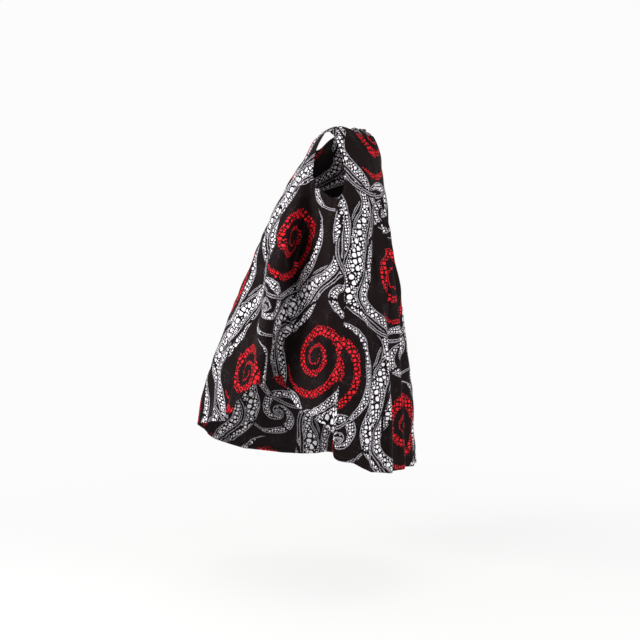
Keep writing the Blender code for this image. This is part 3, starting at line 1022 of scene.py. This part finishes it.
def motif_group():
    """Node group: at a place on the flat cut, how far away the motif's middle line is, in half
    widths, its half width in metres, and 1 where it is red."""
    tree = bpy.data.node_groups.new("print_motifs", "ShaderNodeTree")
    tree.interface.new_socket("Place", in_out="INPUT", socket_type="NodeSocketVector")
    tree.interface.new_socket("Motif", in_out="OUTPUT", socket_type="NodeSocketVector")
    start = add_node(tree, "NodeGroupInput")
    end = add_node(tree, "NodeGroupOutput")
    flat = add_node(tree, "ShaderNodeSeparateXYZ", {0: start.outputs[0]}).outputs
    place = {"u": flat[0], "v": flat[1]}
    centres = {}
    for name, across, up, lean, stretch in MOTIF_CENTRES:
        steps = repeat_steps(across, up) + turned_steps(lean, stretch)
        centres[name] = formula(tree, steps, place)
    wave = formula(tree, repeat_steps(0.5 * REPEAT_WIDTH, 0.0) + wave_steps(), place)
    bands = {"wave": wave}
    bands["side"] = {"away": wave["side_away"], "half_width": wave["side_half_width"]}
    for arm in ARMS:
        bands[arm.name] = formula(tree, arm_steps(arm), centres[arm.centre])
    shown = None
    for name, red, halo in LAYERS:
        if name == "disc":
            over = (("over", "LESS_THAN", "log", math.log(SCROLL_DISC)),)
            values = formula(tree, over, centres["scroll"])
            inputs = {0: BARE_AWAY, 1: BARE_HALF_WIDTH}
        else:
            over = (
                ("past_edge", "MULTIPLY_ADD", "away", "half_width", halo),
                ("over", "LESS_THAN", "past_edge", "half_width"),
            )
            values = formula(tree, over, bands[name])
            inputs = {0: values["away"], 1: values["half_width"], 2: red}
        motif = add_node(tree, "ShaderNodeCombineXYZ", inputs).outputs[0]
        if shown is None:
            shown = motif
            continue
        inputs = {0: values["over"], 4: shown, 5: motif}
        shown = add_node(tree, "ShaderNodeMix", inputs, data_type="VECTOR").outputs[1]
    tree.links.new(shown, end.inputs[0])
    return tree


def worn_colour(tree, cut, colour, look, fade):
    """Uneven dye, fine veins where the wax cracked, and the paler inside of the cloth."""
    inputs = {"Vector": cut, "Scale": DYE_SCALE, "Detail": DYE_DETAIL}
    dye = add_node(tree, "ShaderNodeTexNoise", inputs).outputs[0]
    inputs = {"Value": dye, "From Min": DYE_RANGE[0], "From Max": DYE_RANGE[1]}
    inputs |= {"To Min": 1.0 - DYE_SPREAD, "To Max": 1.0 + DYE_SPREAD}
    uneven = add_node(tree, "ShaderNodeMapRange", inputs).outputs["Result"]
    inputs = {0: colour, 3: uneven}
    colour = add_node(tree, "ShaderNodeVectorMath", inputs, operation="SCALE").outputs[0]
    inputs = {"Vector": cut, "Scale": VEIN_SCALE, "Randomness": 1.0}
    crazed = add_node(tree, "ShaderNodeTexVoronoi", inputs, **FLAT_EDGES).outputs["Distance"]
    steps = (
        ("thin", "LESS_THAN", "crazed", VEIN_WIDTH * VEIN_SCALE),
        ("patch", "GREATER_THAN", "dye", VEIN_PATCH),
        ("both", "MULTIPLY", "thin", "patch"),
        ("vein", "MULTIPLY", "both", VEIN_STRENGTH),
    )
    values = formula(tree, steps, {"crazed": crazed, "dye": dye})
    for share in (values["vein"], fade):
        inputs = {0: share, 6: colour, 7: opaque(look.outline)}
        colour = add_node(tree, "ShaderNodeMix", inputs, data_type="RGBA").outputs[2]
    return colour


def weave(tree, cut, shader):
    """Plain weave as bump, and a roughness that differs from thread to thread."""
    place = add_node(tree, "ShaderNodeSeparateXYZ", {0: cut}).outputs
    turn = 2.0 * math.pi / WEAVE_PITCH
    steps = (
        ("warp_turn", "MULTIPLY", "u", turn),
        ("weft_turn", "MULTIPLY", "v", turn),
        ("warp", "SINE", "warp_turn"),
        ("weft", "SINE", "weft_turn"),
        ("over", "MULTIPLY", "warp", "weft"),
        ("rough", "MULTIPLY_ADD", "over", ROUGHNESS_SPREAD, COTTON_ROUGHNESS),
    )
    values = formula(tree, steps, {"u": place[0], "v": place[1]})
    tree.links.new(values["rough"], shader.inputs["Roughness"])
    inputs = {"Height": values["over"], "Strength": WEAVE_BUMP, "Distance": WEAVE_DEPTH}
    bump = add_node(tree, "ShaderNodeBump", inputs).outputs[0]
    tree.links.new(bump, shader.inputs["Normal"])


def spun_thread():
    """Black spun polyester: a soft sheen and a fine twist."""
    material, tree, shader = new_material("spun_polyester_thread")
    place = add_node(tree, "ShaderNodeTexCoord").outputs["Object"]
    inputs = {"Vector": place, "Scale": TWIST_SCALE, "Detail": 1.0}
    twist = add_node(tree, "ShaderNodeTexNoise", inputs).outputs[0]
    inputs = {0: twist, 6: opaque(linear(THREAD_DARK)), 7: opaque(linear(THREAD_LIGHT))}
    colour = add_node(tree, "ShaderNodeMix", inputs, data_type="RGBA").outputs[2]
    tree.links.new(colour, shader.inputs["Base Color"])
    inputs = {"Height": twist, "Strength": TWIST_BUMP, "Distance": TWIST_DEPTH}
    bump = add_node(tree, "ShaderNodeBump", inputs).outputs[0]
    tree.links.new(bump, shader.inputs["Normal"])
    shader.inputs["Roughness"].default_value = THREAD_ROUGHNESS
    return material


def strayed(tree, cut):
    """Place on the flat cut, moved a little as a hand-cut stamp strays."""
    inputs = {"Vector": cut, "Scale": STRAY_SCALE, "Detail": 1.0}
    stray = add_node(tree, "ShaderNodeTexNoise", inputs).outputs["Color"]
    twice = 2.0 * STRAY_REACH
    inputs = {0: stray, 1: (twice, twice, 0.0), 2: (-STRAY_REACH, -STRAY_REACH, 0.0)}
    move = add_node(tree, "ShaderNodeVectorMath", inputs, operation="MULTIPLY_ADD").outputs[0]
    return add_node(tree, "ShaderNodeVectorMath", {0: cut, 1: move}, operation="ADD").outputs[0]


def motif_at(tree, place):
    """What the motifs give at a place: how far away a middle line is, its half width, and red."""
    motifs = bpy.data.node_groups.get("print_motifs") or motif_group()
    here = add_node(tree, "ShaderNodeGroup", {0: place}, node_tree=motifs).outputs[0]
    parts = add_node(tree, "ShaderNodeSeparateXYZ", {0: here}).outputs
    return {"away": parts[0], "half_width": parts[1], "red": parts[2]}


def stippled_border(tree, place):
    """Share of stippling at a place: a strip of specks beside each light band."""
    inputs = {"Vector": place, "Scale": 1.0 / STIPPLE_PITCH, "Randomness": DOT_SCATTER}
    speck = add_node(tree, "ShaderNodeTexVoronoi", inputs, **FLAT_CELLS).outputs["Distance"]
    steps = (
        ("past", "SUBTRACT", "away", 1.0),
        ("beside", "MULTIPLY", "past", "half_width"),
        ("off_middle", "SUBTRACT", "beside", 0.5 * (STIPPLE_START + STIPPLE_END)),
        ("off", "ABSOLUTE", "off_middle"),
        ("strip", "LESS_THAN", "off", 0.5 * (STIPPLE_END - STIPPLE_START)),
        ("light", "SUBTRACT", "strip", "red"),
        ("small", "LESS_THAN", "speck", STIPPLE_RADIUS),
        ("stipple", "MULTIPLY", "light", "small"),
    )
    return formula(tree, steps, motif_at(tree, place) | {"speck": speck})["stipple"]


def dot_row(tree, place, row, taken):
    """Dots of one size, on the motifs and clear of larger dots: their share at a place, what is
    taken with them, and 1 where they are red."""
    size, reach, least, half_gap = row
    inputs = {"Vector": place, "Scale": 1.0 / size, "Randomness": DOT_SCATTER}
    cells = add_node(tree, "ShaderNodeTexVoronoi", inputs, **FLAT_CELLS).outputs
    edges = add_node(tree, "ShaderNodeTexVoronoi", inputs, **FLAT_EDGES).outputs
    values = motif_at(tree, cells["Position"])
    values |= {"off": cells["Distance"], "edge": edges["Distance"]}
    steps = (
        ("near", "LESS_THAN", "away", reach),
        ("broad", "GREATER_THAN", "half_width", least),
        ("on", "MULTIPLY", "near", "broad"),
        ("round", "SUBTRACT", "off", DOT_RADIUS),
        ("gap", "SUBTRACT", half_gap, "edge"),
        ("body", "SMOOTH_MAX", "round", "gap", DOT_ROUNDING),
        ("inside", "LESS_THAN", "body", 0.0),
        ("dot", "MULTIPLY", "inside", "on"),
        ("ring", "LESS_THAN", "off", DOT_CLEAR),
        ("halo", "MULTIPLY", "ring", "on"),
    )
    if taken is not None:
        values["taken"] = taken
        steps += (
            ("free", "SUBTRACT", 1.0, "taken"),
            ("dot", "MULTIPLY", "dot", "free"),
            ("halo", "MAXIMUM", "halo", "taken"),
        )
    values = formula(tree, steps, values)
    return values["dot"], values["halo"], values["red"]


def printed_cotton(look, name, fade):
    """Wax print on plain-weave cotton: crisp dots on a deep ground, with a low, dry sheen."""
    material, tree, shader = new_material(name)
    cut = add_node(tree, "ShaderNodeUVMap", uv_map="flat_cut").outputs[0]
    place = strayed(tree, cut)
    border = stippled_border(tree, place)
    inputs = {0: border, 6: opaque(look.ground), 7: opaque(look.outline)}
    colour = add_node(tree, "ShaderNodeMix", inputs, data_type="RGBA").outputs[2]
    taken = None
    for row in DOTS:
        dot, taken, red = dot_row(tree, place, row, taken)
        inputs = {0: red, 6: opaque(look.dots), 7: opaque(look.red)}
        paint = add_node(tree, "ShaderNodeMix", inputs, data_type="RGBA").outputs[2]
        inputs = {0: dot, 6: colour, 7: paint}
        colour = add_node(tree, "ShaderNodeMix", inputs, data_type="RGBA").outputs[2]
    colour = worn_colour(tree, cut, colour, look, fade)
    tree.links.new(colour, shader.inputs["Base Color"])
    weave(tree, cut, shader)
    shader.inputs["Specular IOR Level"].default_value = COTTON_SPECULAR
    shader.inputs["Sheen Weight"].default_value = SHEEN
    shader.inputs["Sheen Roughness"].default_value = SHEEN_ROUGHNESS
    return material


class DressSizes(bpy.types.PropertyGroup):
    """Sizes of the cloth and its sewing."""

    thickness: bpy.props.FloatProperty(
        name="Cloth thickness",
        description="One layer of cotton",
        default=0.0009,
        min=0.0002,
        unit="LENGTH",
    )
    seam_gap: bpy.props.FloatProperty(
        name="Seam gap",
        description="Gap between two sewn edges",
        default=0.0003,
        min=0.0,
        unit="LENGTH",
    )
    seam_dip: bpy.props.FloatProperty(
        name="Seam dip",
        description="How far a seam is drawn in",
        default=0.0012,
        min=0.0002,
        unit="LENGTH",
    )
    seam_calm: bpy.props.FloatProperty(
        name="Seam calm",
        description="Distance over which creases fade at a seam",
        default=0.030,
        unit="LENGTH",
    )
    hem_stitch: bpy.props.FloatProperty(
        name="Hem stitch",
        description="Stitching above the hem's edge",
        default=0.0132,
        unit="LENGTH",
    )
    edge_stitch: bpy.props.FloatProperty(
        name="Edge stitch",
        description="Stitching inside the neck and armholes",
        default=0.0054,
        unit="LENGTH",
    )
    stitch_pitch: bpy.props.FloatProperty(
        name="Stitch pitch",
        description="From one stitch to the next",
        default=0.0034,
        min=0.001,
        unit="LENGTH",
    )
    stitch_length: bpy.props.FloatProperty(
        name="Stitch length",
        description="Thread on the surface",
        default=0.0027,
        min=0.0005,
        unit="LENGTH",
    )
    stitch_width: bpy.props.FloatProperty(
        name="Stitch width",
        description="Thickness of the thread",
        default=0.0005,
        min=0.0001,
        unit="LENGTH",
    )


class DressPrint(bpy.types.PropertyGroup):
    """Colours of the print."""

    ground: bpy.props.FloatVectorProperty(
        name="Ground",
        description="Near-black brown",
        subtype="COLOR",
        default=linear(0x181011),
        min=0.0,
        max=1.0,
    )
    dots: bpy.props.FloatVectorProperty(
        name="Dots",
        description="White of the resist",
        subtype="COLOR",
        default=linear(0xF2EEF4),
        min=0.0,
        max=1.0,
    )
    red: bpy.props.FloatVectorProperty(
        name="Red",
        description="Red of the scrolls",
        subtype="COLOR",
        default=linear(0xDE1F2B),
        min=0.0,
        max=1.0,
    )
    outline: bpy.props.FloatVectorProperty(
        name="Outline",
        description="Grey of the thin outlines",
        subtype="COLOR",
        default=linear(0xC6C2CA),
        min=0.0,
        max=1.0,
    )


class DressStage(bpy.types.PropertyGroup):
    """Camera and light."""

    azimuth: bpy.props.FloatProperty(
        name="Azimuth",
        description="Turn of the camera round the dress",
        subtype="ANGLE",
        default=math.radians(112.0),
    )
    pitch: bpy.props.FloatProperty(
        name="Pitch",
        description="Angle of the camera above level",
        subtype="ANGLE",
        default=math.radians(5.6),
    )
    distance: bpy.props.FloatProperty(
        name="Distance", description="Camera to its target", default=4.5, unit="LENGTH"
    )
    frame_width: bpy.props.FloatProperty(
        name="Frame width",
        description="Width of the frame at the target",
        default=2.05,
        unit="LENGTH",
    )
    target_height: bpy.props.FloatProperty(
        name="Target height",
        description="Height of the camera's target",
        default=-0.594,
        unit="LENGTH",
    )
    target_shift: bpy.props.FloatProperty(
        name="Target shift",
        description="Target to the right of the origin",
        default=-0.086,
        unit="LENGTH",
    )
    floor_height: bpy.props.FloatProperty(
        name="Floor", description="Height of the floor", default=-1.46, unit="LENGTH"
    )
    floor_colour: bpy.props.FloatVectorProperty(
        name="Floor colour",
        description="Pale floor",
        subtype="COLOR",
        default=linear(0xF2F1EF),
        min=0.0,
        max=1.0,
    )


class DRESS_OT_cloth(bpy.types.Operator):
    """Front and back of the dress, each a thin sheet of printed cotton with its stitching"""

    bl_idname = "dress.cloth"
    bl_label = "Front and back"

    def execute(self, context):
        sizes, look = context.scene.dress_sizes, context.scene.dress_print
        front = ClothPanel(FRONT_RIGHT_HALF, FRONT_LEFT_HALF)
        back = ClothPanel(BACK_LEFT_HALF, BACK_RIGHT_HALF)
        for panel in (front, back):
            panel.flat = flat_cut(panel)
        front_normals, back_normals = shaped_cloth(front, back, sizes)
        # Wax print dyes the cloth through, so its inside is printed too and only a little paler
        outside = printed_cotton(look, "wax_printed_cotton", 0.0)
        inside = printed_cotton(look, "wax_printed_cotton_inside", INSIDE_FADE)
        thread = spun_thread()
        for side, panel, normals in (("front", front, front_normals), ("back", back, back_normals)):
            cloth = add_cloth(f"{side}_cloth", panel, normals, sizes, (outside, inside))
            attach(cloth, "root")
            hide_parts(f"{side}_panel")
            lines = stitch_lines(panel, normals, sizes)
            stitches = add_stitches(f"{side}_stitches", lines, sizes, thread)
            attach(stitches, "root")
        return {"FINISHED"}


class DRESS_OT_stage(bpy.types.Operator):
    """Camera, pale floor and soft studio light"""

    bl_idname = "dress.stage"
    bl_label = "Stage"

    def execute(self, context):
        stage = context.scene.dress_stage
        turn, pitch = stage.azimuth, stage.pitch
        right = np.array((math.cos(turn), math.sin(turn), 0.0))
        forward = np.array((math.sin(turn), -math.cos(turn), 0.0))
        away = forward * math.cos(pitch) + UP * math.sin(pitch)
        target = right * stage.target_shift + UP * stage.target_height
        lens = bpy.data.cameras.new("camera")
        lens.sensor_width = SENSOR_WIDTH
        lens.lens = SENSOR_WIDTH * stage.distance / stage.frame_width
        camera = add_object("camera", lens)
        camera.location = target + away * stage.distance
        camera.rotation_euler = (0.5 * math.pi - pitch, 0.0, turn)
        context.scene.camera = camera
        self.floor(stage)
        self.lights(target, right, forward)
        self.surround(context.scene)
        return {"FINISHED"}

    def floor(self, stage):
        """Dull painted floor that glows in the surround's colour, fully a few metres away so that
        it fades into the surround, and about a third as much at its middle, where the glow is
        painted light that pales the dress's shadow.
        """
        material, tree, shader = new_material("painted_floor")
        shader.inputs["Roughness"].default_value = FLOOR_ROUGHNESS
        shader.inputs["Specular IOR Level"].default_value = 0.0
        shader.inputs["Emission Strength"].default_value = 1.0
        place = add_node(tree, "ShaderNodeTexCoord").outputs["Object"]
        away = add_node(tree, "ShaderNodeVectorMath", {0: place}, operation="LENGTH")
        inputs = {"Value": away.outputs["Value"]}
        inputs |= {"From Min": FADE_START, "From Max": FADE_END, "To Min": FLOOR_GLOW_LEAST}
        fade = add_node(tree, "ShaderNodeMapRange", inputs, interpolation_type="SMOOTHSTEP")
        # Painted light: the floor glows in the surround's colour, about a third of it even under
        # the dress, which pales the shadow the dress casts there; far off it glows fully and its
        # own colour is gone
        colours = (
            ("Base Color", opaque(stage.floor_colour), BLACK),
            ("Emission Color", BLACK, opaque(linear(SURROUND))),
        )
        for socket, near, far in colours:
            inputs = {0: fade.outputs["Result"], 6: near, 7: far}
            faded = add_node(tree, "ShaderNodeMix", inputs, data_type="RGBA").outputs[2]
            tree.links.new(faded, shader.inputs[socket])
        mesh = bpy.data.meshes.new("floor")
        sides = (-FLOOR_REACH, FLOOR_REACH)
        corners = [(x, y, stage.floor_height) for y in sides for x in sides]
        mesh.from_pydata(corners, [], [(0, 1, 3, 2)])
        mesh.materials.append(material)
        add_object("floor", mesh)

    def lights(self, target, right, forward):
        """Large soft lights round the dress."""
        for name, across, towards, height, size, power in LIGHTS:
            lamp = bpy.data.lights.new(name, "AREA")
            lamp.shape = "DISK"
            lamp.size = size
            lamp.energy = power
            light = add_object(name, lamp)
            place = target + right * across + forward * towards + UP * height
            light.location = place
            aim = target - place
            tilt = math.acos(-aim[2] / np.linalg.norm(aim))
            light.rotation_euler = (tilt, 0.0, math.atan2(aim[1], aim[0]) - 0.5 * math.pi)

    def surround(self, scene):
        """Bright even surround, which lights the dress less than it shows."""
        world = bpy.data.worlds.new("surround")
        world.use_nodes = True
        tree = world.node_tree
        background = tree.nodes["Background"]
        background.inputs["Color"].default_value = opaque(linear(SURROUND))
        seen = add_node(tree, "ShaderNodeLightPath").outputs["Is Camera Ray"]
        inputs = {"Value": seen, "To Min": SURROUND_STRENGTH, "To Max": 1.0}
        strength = add_node(tree, "ShaderNodeMapRange", inputs).outputs["Result"]
        tree.links.new(strength, background.inputs["Strength"])
        scene.world = world
        scene.view_settings.view_transform = "Standard"


class DRESS_PT_panel(bpy.types.Panel):
    """The dress's pieces and stage"""

    bl_label = "Dress"
    bl_idname = "DRESS_PT_panel"
    bl_space_type = "VIEW_3D"
    bl_region_type = "UI"
    bl_category = "Dress"

    def draw(self, context):
        for operator in OPERATORS:
            self.layout.operator(operator.bl_idname)
        for name in GROUPS:
            group = getattr(context.scene, name)
            box = self.layout.box()
            for key in group.__annotations__:
                box.prop(group, key)


OPERATORS = (DRESS_OT_stage, DRESS_OT_cloth)
GROUPS = {"dress_sizes": DressSizes, "dress_print": DressPrint, "dress_stage": DressStage}
CLASSES = (*GROUPS.values(), *OPERATORS, DRESS_PT_panel)


def register():
    """Register the groups, operators and panel."""
    for kind in CLASSES:
        bpy.utils.register_class(kind)
    for name, group in GROUPS.items():
        setattr(bpy.types.Scene, name, bpy.props.PointerProperty(type=group))


def unregister():
    """Take the panel, operators and groups away again."""
    for name in GROUPS:
        delattr(bpy.types.Scene, name)
    for kind in reversed(CLASSES):
        bpy.utils.unregister_class(kind)


def main():
    """Make every piece."""
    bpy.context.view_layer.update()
    register()
    bpy.ops.dress.stage()
    bpy.ops.dress.cloth()


if __name__ == "__main__":
    main()
